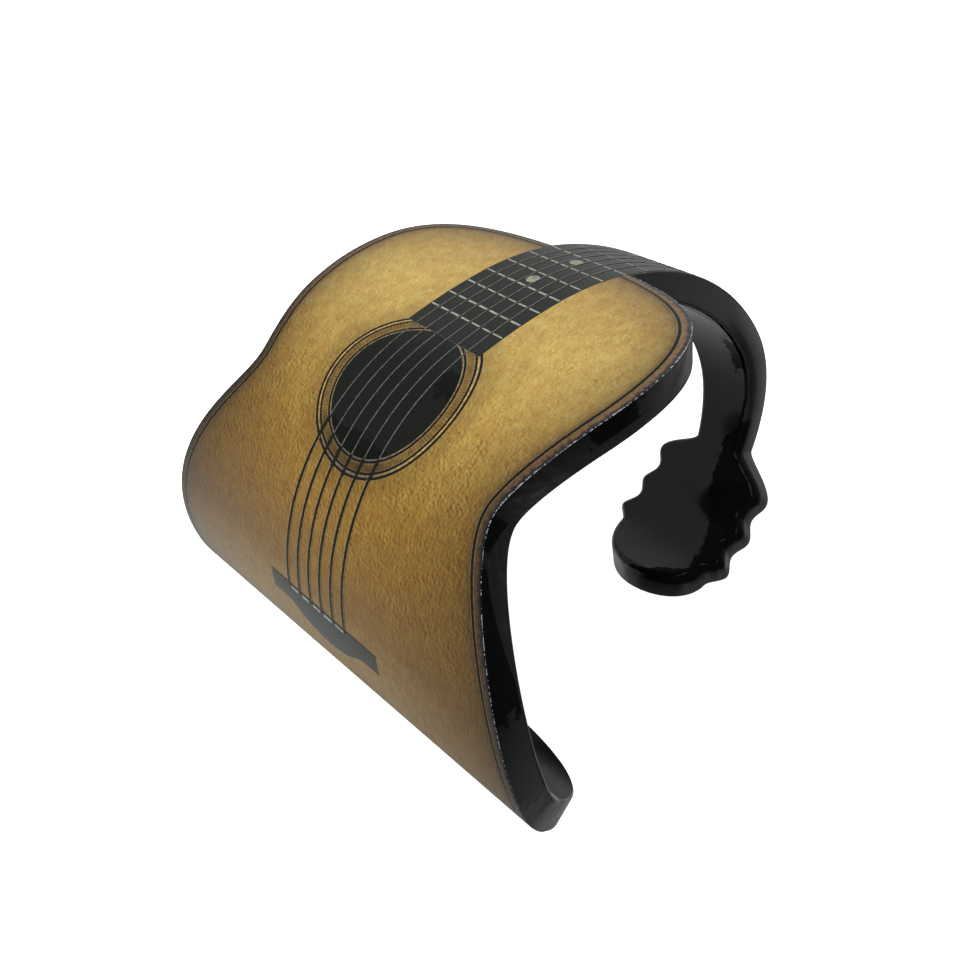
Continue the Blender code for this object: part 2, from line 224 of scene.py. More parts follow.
# Camera: focal length in pixels of the frame, and the turn and shift from the crown's axes to it
FRAME_PIXELS = 980
FOCAL_PIXELS = 1190.0333
VIEW_TURN = Vector((2.13799578, -1.13628148, -0.3127976))
VIEW_SHIFT = Vector((-9.8546, -8.98896, 111.39397))

# Stage: sizes in metres
FLOOR_REACH = 3.0
KEY_DISTANCE = 0.5
KEY_AZIMUTH, KEY_ELEVATION = -140.0, 76.0
KEY_AIM = (0.0, 0.0, 0.03)
KEY_SIZE = 0.30
KEY_RADIANCE = 6.2
WHITE = (1.0, 1.0, 1.0)
ROOM_COLOUR = (0.96, 1.0, 0.98, 1.0)
ROOM_STRENGTH = 0.33
# Sides of the room: azimuth, elevation, inner and outer angle, and level
ROOM_SIDES = (
    (104.0, -18.0, 10.0, 33.0, 0.80),
    (47.0, 20.0, 10.0, 38.0, 0.55),
    (-62.0, -28.0, 25.0, 48.0, 0.13),
    (41.0, -36.0, 6.0, 13.0, 0.04),
    (-172.0, -38.0, 22.0, 40.0, 0.07),
)

# Fineness
FOLD_STEP = 0.5
FIELD_STEP = 0.8
CURVE_POINTS = 48
PEG_STEPS = 24
TIP_STEPS = 24
ARC_STEP = math.radians(3.0)
DOT_SIDES = 32
SNAP = 0.0001
RIM_STEP = 0.05
SEED = 7
SHARP_ANGLE = math.radians(35.0)


# Outlines in the flat sheet

def curve(start, start_handle, end_handle, end):
    points = [Vector(p) for p in (start, start_handle, end_handle, end)]
    return interpolate_bezier(*points, CURVE_POINTS)


def body_half():
    """Half the body's outline, from the middle of the tail to the middle of the neck joint."""
    tail, lower = -BODY_LENGTH, -LOWER_BOUT_AT
    waist, upper = -WAIST_AT, -UPPER_BOUT_AT
    lower_y, waist_y, upper_y = LOWER_BOUT_HALF_WIDTH, WAIST_HALF_WIDTH, UPPER_BOUT_HALF_WIDTH
    points = curve((tail, 0), (tail, TAIL_REACH), (lower - LOWER_BOUT_TAIL_REACH, lower_y), (lower, lower_y))
    points += curve((lower, lower_y), (lower + LOWER_BOUT_WAIST_REACH, lower_y),
                    (waist - WAIST_TAIL_REACH, waist_y), (waist, waist_y))[1:]
    points += curve((waist, waist_y), (waist + WAIST_NECK_REACH, waist_y),
                    (upper - UPPER_BOUT_TAIL_REACH, upper_y), (upper, upper_y))[1:]
    points += curve((upper, upper_y), (upper + UPPER_BOUT_NECK_REACH, upper_y),
                    (-SHOULDER_AT, SHOULDER_REACH), (-SHOULDER_AT, 0))[1:]
    return points


def inset_half(inset, neck_side):
    """The body's half outline moved inwards, ending on the line y = neck_side at the neck."""
    rim = body_half()
    moved = []
    for before, point, after in zip([rim[0]] + rim[:-1], rim, rim[1:] + [rim[-1]]):
        along = (after - before).normalized()
        moved.append(point + inset * Vector((along.y, -along.x)))
    moved[0] = Vector((inset - BODY_LENGTH, 0.0))
    last = max(i for i, point in enumerate(moved) if point.y > neck_side)
    share = (moved[last].y - neck_side) / (moved[last].y - moved[last + 1].y)
    return moved[:last + 1] + [moved[last].lerp(moved[last + 1], share)]


def closed(half, other_half):
    """A half outline on the y > 0 side, carried on round the y < 0 side to where it began."""
    other = [Vector((p.x, -p.y)) for p in reversed(other_half)]
    return half + [p for p in other if abs(p.y) > SNAP]


def mirrored(half):
    return closed(half, half)


def round_the_tail(half):
    """An open line from the neck's y < 0 side round the tail to its y > 0 side."""
    return [Vector((p.x, -p.y)) for p in reversed(half[1:])] + half


def neck_half_width(x):
    taper = (NECK_JOINT_HALF_WIDTH - NECK_END_HALF_WIDTH) / NECK_LENGTH
    return NECK_JOINT_HALF_WIDTH - taper * x


def board_half_width(x):
    """The board follows the neck and keeps the joint's width over the body."""
    return neck_half_width(max(x, 0.0)) - BOARD_MARGIN


def head_half(lead):
    """Half the headstock: a flare, the scallops moved on by a lead, and a round tip."""
    first = NECK_LENGTH + FIRST_PEG_FROM_NECK + lead
    points = curve((NECK_LENGTH, NECK_END_HALF_WIDTH),
                   (NECK_LENGTH + FLARE_NECK_REACH, NECK_END_HALF_WIDTH),
                   (first - FLARE_PEG_REACH, FIRST_PEG_HALF_WIDTH), (first, FIRST_PEG_HALF_WIDTH))
    last_peg = PEG_COUNT - 1
    scallops = last_peg * PEG_STEPS + PEG_STEPS // 2
    for step in range(1, scallops + 1):
        pegs = step / PEG_STEPS
        crest = FIRST_PEG_HALF_WIDTH
        crest += (LAST_PEG_HALF_WIDTH - FIRST_PEG_HALF_WIDTH) * min(pegs / last_peg, 1.0)
        depth = PEG_NOTCH_DEPTH if pegs <= last_peg else LAST_PEG_HALF_WIDTH - TIP_HALF_WIDTH
        width = crest - depth * (1.0 - math.cos(math.tau * pegs)) / 2.0
        points.append(Vector((first + pegs * PEG_PITCH, width)))
    tip_start = points[-1].x
    tip_length = NECK_LENGTH + HEAD_LENGTH - tip_start
    for step in range(1, TIP_STEPS + 1):
        turn = math.pi / 2.0 * step / TIP_STEPS
        points.append(Vector((tip_start + tip_length * math.sin(turn), TIP_HALF_WIDTH * math.cos(turn))))
    return points


def sheet_outline():
    body = inset_half(0.0, neck_half_width(-SHOULDER_AT))
    return closed(body + head_half(-PEG_STAGGER), body + head_half(PEG_STAGGER))


def coat_outline():
    end = nut_at() + NUT_WIDTH + COAT_MARGIN
    half = inset_half(COAT_MARGIN, neck_half_width(0.0) - COAT_MARGIN)
    half.append(Vector((end, neck_half_width(end) - COAT_MARGIN)))
    return mirrored(half)


def rim_band(outer_inset, inner_inset):
    """A band that follows the body's rim, open where the fretboard crosses it."""
    side = board_half_width(0.0) + AREA_GAP
    outer = round_the_tail(inset_half(outer_inset, side))
    inner = round_the_tail(inset_half(inner_inset, side))
    return outer + inner[::-1]


def arc(radius, first, last):
    """Points round the soundhole, on angles that rings of every radius share."""
    steps = range(math.ceil(first / ARC_STEP), math.floor(last / ARC_STEP) + 1)
    angles = [step * ARC_STEP for step in steps]
    angles = [a for a in angles if first + ARC_STEP / 4 < a < last - ARC_STEP / 4]
    return [Vector((radius * math.cos(a) - HOLE_FROM_JOINT, radius * math.sin(a) + HOLE_SHIFT))
            for a in [first] + angles + [last]]


def board_end():
    """The board ends a little way over the soundhole."""
    return HOLE_RADIUS - BOARD_OVERLAP - HOLE_FROM_JOINT


def side_turn(radius, way):
    """How far round the soundhole a circle comes out from under the board's side."""
    return math.asin((board_half_width(0.0) + AREA_GAP - way * HOLE_SHIFT) / radius)


def clear_arc(radius):
    """A circle round the soundhole, from where it clears the board by its end or its side."""
    by_end = math.acos((HOLE_RADIUS - BOARD_OVERLAP - AREA_GAP) / radius)
    return arc(radius, min(by_end, side_turn(radius, 1)), math.tau - min(by_end, side_turn(radius, -1)))


def ring_outline(inner, outer):
    """A ring round the soundhole, cut off by the fretboard."""
    return clear_arc(outer) + clear_arc(inner)[::-1]


def hole_outline():
    return clear_arc(HOLE_RADIUS - AREA_GAP)


def soundboard_outline(inset, rosette):
    """The wooden field: the rim inset, less the fretboard and the rosette's disc."""
    side = board_half_width(0.0) + AREA_GAP
    rim = round_the_tail(inset_half(inset, side))
    return rim + arc(rosette, side_turn(rosette, 1), math.tau - side_turn(rosette, -1))


def fret_at(number):
    share = 2.0 ** (-number / 12.0) - 2.0 ** (-JOINT_FRET / 12.0)
    return SCALE_LENGTH * share - JOINT_FRET_AT


def nut_at():
    return fret_at(NUT_FRET)


def bar(start, end, start_half, end_half):
    return mirrored([Vector((start, start_half)), Vector((end, end_half))])


def rectangle(x0, x1, y0, y1):
    return [Vector((x0, y0)), Vector((x1, y0)), Vector((x1, y1)), Vector((x0, y1))]


def board_outline():
    end = nut_at() - AREA_GAP
    return mirrored([Vector((x, board_half_width(x))) for x in (board_end(), 0.0, end)])


def dot_outline(fret, y, radius):
    x = (fret_at(fret - 1) + fret_at(fret)) / 2
    turns = [math.tau * i / DOT_SIDES for i in range(DOT_SIDES)]
    return [Vector((x + radius * math.cos(a), y + radius * math.sin(a))) for a in turns]


def bridge_outline():
    top = -BRIDGE_FROM_JOINT - BRIDGE_LINE
    tab = -BRIDGE_FROM_JOINT - BRIDGE_TAB_DEPTH
    belly = tab - BELLY_DEPTH
    half = [Vector((top, BRIDGE_HALF_WIDTH)), Vector((tab, BRIDGE_HALF_WIDTH))]
    half += curve((tab, BELLY_HALF_WIDTH), (tab, BELLY_HALF_WIDTH - BELLY_TAB_REACH),
                  (belly, BELLY_MIDDLE_REACH), (belly, 0))
    return [p + Vector((0.0, BRIDGE_SHIFT)) for p in mirrored(half)]


def saddle_at():
    return -BRIDGE_FROM_JOINT - SADDLE_INSET


def string_y(number, x):
    """Where a string lies across the sheet at a place along it."""
    share = 2.0 * number / (STRING_COUNT - 1) - 1.0
    nut = nut_at() + NUT_WIDTH / 2
    run = (x - saddle_at()) / (nut - saddle_at())
    half = STRING_SADDLE_HALF_SPREAD + run * (STRING_NUT_HALF_SPREAD - STRING_SADDLE_HALF_SPREAD)
    return share * half + STRING_SHIFT * (1.0 - run)


def string_strip(number, start, end, low, high):
    """A strip beside a string's middle line, from start to end along the sheet."""
    start_y, end_y = string_y(number, start), string_y(number, end)
    return [Vector((start, start_y + low)), Vector((end, end_y + low)),
            Vector((end, end_y + high)), Vector((start, start_y + high))]


# The bend

def bend_arcs():
    """Each arc as its reach along the sheet, where it starts, its turn there and its radius."""
    tail_arcs = [(CROWN_RADIUS, CROWN_TAIL_ARC), (HIP_RADIUS, HIP_ARC), (TAIL_RADIUS, math.inf)]
    head_arcs = [(CROWN_RADIUS, CROWN_HEAD_ARC), (SHOULDER_RADIUS, SHOULDER_ARC),
                 (NECK_RADIUS, NECK_ARC), (TURN_RADIUS, TURN_ARC), (HEAD_RADIUS, math.inf)]
    found = {}
    for way, arcs in ((-1.0, tail_arcs), (1.0, head_arcs)):
        start, turn, place = -CROWN_FROM_JOINT, 0.0, Vector((0.0, 0.0))
        found[way] = []
        for radius, length in arcs:
            found[way].append((start, start + way * length, place, turn, radius))
            if length < math.inf:
                start, (place, turn) = start + way * length, on_arc(found[way][-1], start + way * length)
    return found


def on_arc(arc_found, along):
    start, _, place, turn, radius = arc_found
    now = turn - (along - start) / radius
    step = Vector((math.sin(turn) - math.sin(now), math.cos(now) - math.cos(turn)))
    return place + radius * step, now


ARCS = bend_arcs()


def bend(point):
    """Carry a point of the skewed flat sheet onto the bend."""
    way = 1.0 if point.x > -CROWN_FROM_JOINT else -1.0
    for found in ARCS[way]:
        if (found[1] - point.x) * way >= 0.0:
            break
    place, turn = on_arc(found, point.x)
    return Vector((place.x - math.sin(turn) * point.z, point.y, place.y + math.cos(turn) * point.z))


SKEW = Matrix.Rotation(BEND_SKEW, 3, "Z")
CROWN = Vector((-CROWN_FROM_JOINT, 0.0, 0.0))


def skewed(point):
    return SKEW @ (point - CROWN) + CROWN


# Meshes

def flat_solid(outlines, bottom, top):
    """Outlines of the flat sheet as plates between two heights."""
    shape = bmesh.new()
    faces = [shape.faces.new([shape.verts.new((p.x, p.y, bottom)) for p in outline]) for outline in outlines]
    raised = bmesh.ops.extrude_face_region(shape, geom=faces, use_keep_orig=True)["geom"]
    raised = [v for v in raised if isinstance(v, bmesh.types.BMVert)]
    bmesh.ops.translate(shape, verts=raised, vec=(0.0, 0.0, top - bottom))
    bmesh.ops.recalc_face_normals(shape, faces=shape.faces)
    return shape


def cut_across(shape, axis, step):
    """Cut the faces at even steps along an axis."""
    places = [v.co[axis] for v in shape.verts]
    normal = Vector((0.0, 0.0, 0.0))
    normal[axis] = 1.0
    for number in range(math.floor(min(places) / step) + 1, math.ceil(max(places) / step)):
        geometry = shape.verts[:] + shape.edges[:] + shape.faces[:]
        place = normal * number * step
        bmesh.ops.bisect_plane(shape, geom=geometry, dist=SNAP, plane_co=place, plane_no=normal)


def placed(shape, name):
    """Bend a flat shape and set it down as a mesh that remembers its flat places."""
    for vert in shape.verts:
        vert.co = skewed(vert.co)
    cut_across(shape, 0, FOLD_STEP)
    flat = shape.verts.layers.float_vector.new("flat")
    back = SKEW.transposed()
    for vert in shape.verts:
        vert[flat] = back @ (vert.co - CROWN) + CROWN
        vert.co = bend(vert.co)
    mesh = bpy.data.meshes.new(name)
    shape.to_mesh(mesh)
    shape.free()
    mesh.shade_smooth()
    mesh.set_sharp_from_angle(angle=SHARP_ANGLE)
    return mesh


def rest_matrix(sheet_mesh):
    """The turn and shift that set the bent sheet down where the solid blank is."""
    turn = Matrix.Rotation(REST_TILT, 4, "Y")
    points = [turn @ v.co for v in sheet_mesh.vertices]
    low = Vector([min(p[axis] for p in points) for axis in range(3)])
    high = Vector([max(p[axis] for p in points) for axis in range(3)])
    solid_low, solid_high = (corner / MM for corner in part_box("cuff_blank"))
    shift = (solid_low + solid_high - low - high) / 2
    shift.z = solid_low.z - low.z + REST_LIFT
    return Matrix.Scale(MM, 4) @ Matrix.Translation(shift) @ turn


def add_piece(mesh, finishes, node):
    """Set a mesh down in place of its solid node."""
    mesh.transform(REST)
    for finish in finishes:
        mesh.materials.append(finish)
    piece = bpy.data.objects.new("look_" + node, mesh)
    bpy.context.scene.collection.objects.link(piece)
    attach(piece, "root")
    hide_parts(node)
    return piece


# Materials

class Finish:
    """A Principled material whose sockets are fed by small nodes."""

    def __init__(self, name, colour, roughness, **sockets):
        self.material = bpy.data.materials.new(name)
        self.material.use_nodes = True
        self.tree = self.material.node_tree
        self.shader = self.tree.nodes["Principled BSDF"]
        self.feed("Base Color", (*colour, 1.0))
        self.feed("Roughness", roughness)
        for socket, value in sockets.items():
            self.feed(socket.replace("_", " "), value)

    def feed(self, socket, value):
        target = self.shader.inputs[socket]
        if isinstance(value, bpy.types.NodeSocket):
            self.tree.links.new(value, target)
        else:
            target.default_value = value

    def node(self, kind, inputs=(), **properties):
        made = self.tree.nodes.new(kind)
        for name, value in properties.items():
            setattr(made, name, value)
        for key, value in dict(inputs).items():
            if isinstance(value, bpy.types.NodeSocket):
                self.tree.links.new(value, made.inputs[key])
            else:
                made.inputs[key].default_value = value
        return made

    def flat(self):
        """The place in the flat sheet, in millimetres."""
        return self.node("ShaderNodeAttribute", attribute_name="flat").outputs["Vector"]

    def value(self, attribute):
        return self.node("ShaderNodeAttribute", attribute_name=attribute).outputs["Fac"]

    def stretched(self, vector, x, y, z=1.0):
        return self.node("ShaderNodeVectorMath", {0: vector, 1: (x, y, z)}, operation="MULTIPLY").outputs[0]

    def moved(self, vector, way):
        return self.node("ShaderNodeVectorMath", {0: vector, 1: way}, operation="ADD").outputs[0]

    def cloud(self, vector, scale, detail=2.0, rough=0.5):
        inputs = {"Vector": vector, "Scale": scale, "Detail": detail, "Roughness": rough}
        return self.node("ShaderNodeTexNoise", inputs).outputs["Fac"]

    def sum(self, operation, first, second):
        return self.node("ShaderNodeMath", {0: first, 1: second}, operation=operation).outputs[0]

    def product(self, first, *others):
        for other in others:
            first = self.sum("MULTIPLY", first, other)
        return first

    def largest(self, first, *others):
        for other in others:
            first = self.sum("MAXIMUM", first, other)
        return first

    def places(self, flat):
        """The three directions of a place in the flat sheet."""
        return self.node("ShaderNodeSeparateXYZ", {0: flat}).outputs

    def span(self, value, low, high, start=0.0, end=1.0, smooth=True):
        inputs = {"Value": value, "From Min": low, "From Max": high, "To Min": start, "To Max": end}
        kind = "SMOOTHSTEP" if smooth else "LINEAR"
        return self.node("ShaderNodeMapRange", inputs, interpolation_type=kind).outputs[0]

    def mix(self, share, first, second, blend="MIX"):
        made = self.node("ShaderNodeMix", data_type="RGBA", blend_type=blend)
        for key, value in ((0, share), (6, first), (7, second)):
            if isinstance(value, bpy.types.NodeSocket):
                self.tree.links.new(value, made.inputs[key])
            else:
                made.inputs[key].default_value = value if key == 0 else (*value, 1.0)
        return made.outputs[2]

    def bump(self, height, depth, share=1.0, below=None):
        """Relief of a depth in millimetres, by a share and over another relief."""
        inputs = {"Height": height, "Strength": share, "Distance": depth * MM}
        if below:
            inputs["Normal"] = below
        normal = self.node("ShaderNodeBump", inputs).outputs["Normal"]
        self.feed("Normal", normal)
        return normal


def matt_side_and_sheen(made, x, z, side):
    """How matt the cut side is, and how much painted sheen lightens its colour: along the neck, where it
    pales towards the print, and at the tail.
    """
    neck = made.product(made.span(x, -17.0, -11.0, 0.0, 0.6), made.span(x, 2.0, 20.0, 1.0, 1.7),
                        made.span(x, 38.0, 46.0, 1.0, 0.5), made.span(x, 54.0, 64.0, 1.0, 0.4))
    rise = made.product(made.span(z, -2.3, -0.2, -1.0, 1.8, False), made.span(x, 16.0, 24.0))
    neck = made.product(neck, made.sum("ADD", rise, 1.0))
    wall = made.product(side, made.span(z, *ABOVE_RIM))
    return made.product(wall, made.largest(neck, made.span(x, -46.0, -57.0, 0.0, 0.5)))


def tail_sheen(made, place, side):
    """Painted sheen at the tail's near corner, on its cut side and on the inner face: a paler colour
    standing in for reflected light.
    """
    x, y, z = place
    corner = made.product(made.span(x, -66.0, -68.0, 0.0, 0.4), side, made.span(y, -20.0, -28.0))
    shifted_tone = made.product(made.span(x, -73.5, -66.5, 0.0, 2.6), made.span(y, -16.0, -22.0),
                        made.span(z, *INNER_FACE))
    return made.largest(corner, shifted_tone)


def dark_reflection_places(made, place, side, ragged):
    """Where the gloss is turned down to paint dark reflections: on the body's cut side, the tail, inside the
    neck and on the headstock.
    """
    x, y, z = place
    along = made.sum("ADD", x, ragged)

    def above(line):
        return made.span(made.sum("SUBTRACT", z, line), -0.10, 0.05)

    waist = made.product(made.span(along, -47.5, -46.5), made.span(x, -34.6, -35.6),
                         above(made.span(x, -35.0, -44.0, -0.5, -2.8, False)))
    patch = made.product(made.span(x, -34.2, -33.6), made.span(x, -30.6, -31.2),
                         above(made.span(x, -33.8, -31.2, -0.8, -2.1, False)))
    bout = made.product(made.span(along, -21.5, -20.5), made.span(along, -15.0, -16.0),
                        made.span(z, -2.1, -1.8))
    cut_side = made.product(side, made.largest(waist, patch, bout))
    tail = made.product(made.span(x, -72.5, -74.0), made.span(y, -12.0, -17.0),
                        made.span(z, *INNER_FACE))
    across = made.sum("ADD", y, made.product(ragged, 0.5))
    inside = made.product(made.span(along, 22.0, 23.0), made.span(along, 30.0, 29.0),
                          made.span(across, -2.2, -2.5), made.span(z, *INNER_FACE))
    line = made.sum("ADD", made.span(x, 36.0, 42.0, -4.0, -1.0), made.span(x, 45.0, 60.0, 0.0, -4.5))
    line = made.sum("ADD", line, made.span(x, 61.0, 65.0, 0.0, 4.0))
    below = made.sum("SUBTRACT", made.sum("ADD", line, made.product(ragged, 0.3)), y)
    head = made.product(made.span(below, -0.2, 0.3), made.span(x, 36.0, 39.0), made.span(z, -1.6, -2.2))
    return made.largest(cut_side, tail, inside, head)


def black_sheet():
    """Polished black sheet: cut sides wavy, matt along the neck and the tail, with painted sheen on the cut
    sides and at the tail, and dimmer in places where dark reflections are painted.
    """
    made = Finish("black_sheet", (0.005, 0.006, 0.006), 0.10)
    flat = made.flat()
    place = made.places(flat)
    x, y, z = place
    side = made.value("side")
    matt_and_sheen = matt_side_and_sheen(made, x, z, side)
    pale_and_sheen = made.sum("DIVIDE", made.largest(matt_and_sheen, tail_sheen(made, place, side)), 3.0)
    # Paler colour on the cut side: partly the grey of a matt cut, partly painted sheen; at the tail corner
    # and on the inner face it is painted sheen.
    made.feed("Base Color", made.mix(pale_and_sheen, (0.004, 0.005, 0.005), (0.200, 0.206, 0.203)))
    gloss = made.span(made.cloud(flat, 0.25, 2.0), 0.3, 0.7, 0.05, 0.11)
    matt = made.product(made.sum("MINIMUM", matt_and_sheen, 1.0), 0.35)
    made.feed("Roughness", made.sum("ADD", gloss, matt))

    ragged = made.span(made.cloud(flat, 0.7, 3.0, 0.6), 0.2, 0.8, -1.5, 1.5)
    # The gloss on the body's cut side rises towards the inner rim and is turned down in places: painted
    # light and dark reflections.
    body = made.product(side, made.span(x, -60.0, -50.0), made.span(x, -8.0, -14.0))
    shine = made.sum("ADD", 0.5, made.product(body, made.span(z, -0.2, -3.0, -0.14, 0.42, False)))
    dark = made.span(dark_reflection_places(made, place, side, ragged), 0.0, 1.0, 1.0, 0.08)
    made.feed("Specular IOR Level", made.product(shine, dark))

    wave = made.cloud(made.stretched(flat, 0.30, 0.30, 0.45), 1.0, 2.0, 0.45)
    scratch = made.cloud(made.stretched(flat, 2.0, 2.0, 5.0), 1.0, 2.0)
    face = made.bump(made.cloud(flat, 0.10, 1.0), FACE_RELIEF)
    cut_side = made.bump(wave, SIDE_RELIEF, side, face)
    made.bump(scratch, SCRATCH_RELIEF, matt_and_sheen, cut_side)
    return made.material


def wood_colour(made, flat, edge):
    """Golden wood that browns towards the tail, the rim and the rosette."""
    x, y, _ = made.places(flat)
    blotch = made.cloud(flat, 0.16, 3.0)
    low, high = WOOD_STOPS[0][0], WOOD_STOPS[-1][0]
    ramp = made.node("ShaderNodeValToRGB", {"Fac": made.span(x, low, high, smooth=False)})
    stops = ramp.color_ramp.elements
    for number, (place, colour) in enumerate(WOOD_STOPS):
        at = (place - low) / (high - low)
        stop = stops[number] if number in (0, 1) else stops.new(at)
        stop.position = at
        stop.color = (*colour, 1.0)
    lower = made.span(x, -24.0, -46.0)
    uneven = made.span(blotch, 0.3, 0.7, -2.5, 2.5)
    reach = made.sum("ADD", made.span(lower, 0.0, 1.0, 7.5, 20.0, False), uneven)
    burst = made.node("ShaderNodeMapRange", {"Value": edge, "From Min": 1.5, "From Max": reach})
    burst = made.sum("POWER", burst.outputs[0], 0.5)
    colour = made.mix(1.0, ramp.outputs[0], made.mix(burst, RIM_BROWN, WHITE), "MULTIPLY")
    middle = (-HOLE_FROM_JOINT, HOLE_SHIFT, 0.0)
    far = made.node("ShaderNodeVectorMath", {0: flat, 1: middle}, operation="DISTANCE").outputs["Value"]
    halo = made.span(far, HALO_FROM, HALO_TO, HALO_SHADE, 1.0)
    return made.mix(1.0, colour, halo, "MULTIPLY"), x, y, blotch


def wood():
    """Printed wood: pitted and pebbled, with strokes along the grain and lighter and browner clouds, and the
    pebbles' lit and shaded sides painted into the colour.
    """
    made = Finish("wood_print", (0.45, 0.28, 0.085), 0.3)
    flat = made.flat()
    colour, x, y, blotch = wood_colour(made, flat, made.value("edge"))
    pebble = made.cloud(flat, 2.6, 1.0, 0.5)
    # Painted light and shade of the pebbles: a noise less the same noise moved a little.
    moved = made.moved(flat, (-0.09, 0.11, 0.0))
    pebble_light_and_shade = made.sum("SUBTRACT", pebble, made.cloud(moved, 2.6, 1.0, 0.5))
    patch = made.span(made.cloud(flat, 0.45, 2.0), 0.35, 0.65, 0.5, 1.2)
    much = made.product(made.span(x, -20.0, -32.0, 0.55, 1.6), made.span(x, -42.0, -50.0, 1.0, 0.45))
    pebble_light_and_shade = made.product(pebble_light_and_shade, patch, much)
    stroke = made.cloud(made.stretched(flat, 0.8, 3.0), 1.0, 3.0, 0.6)
    cloud = made.cloud(flat, 0.8, 3.0, 0.6)
    pit = made.cloud(made.stretched(flat, 1.4, 2.2), 1.0, 2.0, 0.7)
    grain = made.span(made.cloud(flat, 4.5, 1.0), 0.3, 0.7, 0.93, 1.07)
    shade = made.sum("ADD", made.product(pebble_light_and_shade, 1.15), made.span(stroke, 0.30, 0.70, 0.94, 1.06))
    shade = made.product(shade, grain, made.span(pit, 0.28, 0.37, 0.55, 1.0),
                         made.span(blotch, 0.3, 0.7, 0.92, 1.07), made.span(cloud, 0.3, 0.7, 0.91, 1.09))
    lower = made.span(x, -26.0, -34.0)
    line = made.sum("ABSOLUTE", made.sum("ADD", y, made.span(cloud, 0.3, 0.7, 12.0, 12.8)), 0.0)
    glow = made.product(made.span(line, 0.30, 0.05, 0.0, 0.16), lower)
    shade = made.sum("ADD", shade, glow)
    tint = made.mix(made.span(cloud, 0.35, 0.65), (1.02, 0.93, 0.84), (1.0, 1.04, 1.08))
    colour = made.mix(1.0, colour, tint, "MULTIPLY")
    made.feed("Base Color", made.mix(1.0, colour, shade, "MULTIPLY"))
    made.feed("Roughness", made.span(pebble, 0.3, 0.7, 0.30, 0.40))
    made.bump(made.sum("ADD", pebble, stroke), 0.02)
    return made.material


def border():
    """Brown at the purfling, almost black along the cut edge and darker on the far side."""
    made = Finish("border_ink", (0.14, 0.060, 0.022), 0.30)
    flat = made.flat()
    x, y, _ = made.places(flat)
    speck = made.cloud(flat, 2.4, 3.0, 0.6)
    reach = made.sum("ADD", made.value("edge"), made.span(speck, 0.3, 0.7, -0.12, 0.12))
    colour = made.mix(made.span(reach, 0.30, 0.62), (0.040, 0.028, 0.032), (0.225, 0.118, 0.036))
    far = made.product(made.span(y, 0.0, 12.0, 1.0, 0.72), made.span(x, -34.0, -12.0, 0.34, 0.85))
    shade = made.product(made.span(speck, 0.3, 0.7, 0.65, 1.3), far)
    made.feed("Base Color", made.mix(1.0, colour, shade, "MULTIPLY"))
    made.bump(speck, 0.02)
    return made.material


def hatched():
    """The rosette's main band: brown with fine rays and lighter along both sides."""
    made = Finish("brown_ink", (0.20, 0.12, 0.045), 0.30, Specular_IOR_Level=0.2)
    flat = made.flat()
    from_hole = made.moved(flat, (HOLE_FROM_JOINT, -HOLE_SHIFT, 0.0))
    x, y, _ = made.places(from_hole)
    rays = made.sum("SINE", made.product(made.sum("ARCTAN2", y, x), RAY_COUNT), 0.0)
    far = made.node("ShaderNodeVectorMath", {0: from_hole}, operation="LENGTH").outputs["Value"]
    middle = HOLE_RADIUS + INNER_BAND_WIDTH + INNER_LINE_WIDTH + MAIN_BAND_WIDTH / 2
    off = made.sum("ABSOLUTE", made.sum("SUBTRACT", far, middle), 0.0)
    speck = made.cloud(flat, 1.1, 3.0, 0.7)
    colour = made.mix(made.span(speck, 0.35, 0.65), (0.150, 0.084, 0.024), (0.250, 0.156, 0.042))
    colour = made.mix(made.span(off, 0.26, 0.40, 0.0, 0.5), colour, (0.42, 0.27, 0.10))
    shade = made.span(rays, -1.0, 1.0, 0.74, 1.10, False)
    shade = made.product(shade, made.span(x, *RING_DARK, 0.5, 1.0))
    made.feed("Base Color", made.mix(1.0, colour, shade, "MULTIPLY"))
    made.bump(speck, 0.012)
    return made.material


def ink(name, colour, roughness, variation=0.15, grain=2.5, shine=0.5, tail=1.0):
    """A plain ink with the fine unevenness of a print, darker on the tail side of the soundhole."""
    made = Finish(name, colour, roughness, Specular_IOR_Level=shine)
    flat = made.flat()
    speck = made.cloud(flat, grain, 3.0, 0.6)
    shade = made.span(speck, 0.3, 0.7, 1.0 - variation, 1.0 + variation)
    if tail < 1.0:
        from_hole = made.sum("ADD", made.places(flat)[0], HOLE_FROM_JOINT)
        shade = made.product(shade, made.span(from_hole, *RING_DARK, tail, 1.0))
    made.feed("Base Color", made.mix(1.0, colour, shade, "MULTIPLY"))
    made.feed("Roughness", made.span(speck, 0.3, 0.7, roughness * 0.85, roughness * 1.15))
    made.bump(speck, 0.012)
    return made.material


def hole():
    """The glossy black of the soundhole, dimmer in two places at its rim, where dark reflections are
    painted.
    """
    made = Finish("hole_ink", (0.006, 0.007, 0.0055), 0.08)
    flat = made.flat()
    x, y, _ = made.places(flat)
    speck = made.cloud(flat, 2.5, 3.0, 0.6)
    ragged = made.span(made.cloud(flat, 0.8, 3.0, 0.6), 0.2, 0.8, -1.0, 1.0)
    along = made.sum("ADD", x, ragged)
    tail = made.span(along, -31.5, -32.1)
    near = made.product(made.span(along, -24.9, -24.5), made.span(along, -21.8, -22.4),
                        made.span(made.sum("ADD", y, ragged), -4.4, -4.9))
    # Gloss turned down in two places: painted dark reflections.
    made.feed("Specular IOR Level", made.span(made.largest(tail, near), 0.0, 1.0, 0.28, 0.10))
    made.feed("Base Color", made.mix(speck, (0.005, 0.006, 0.005), (0.007, 0.008, 0.006)))
    made.bump(speck, 0.002)
    return made.material


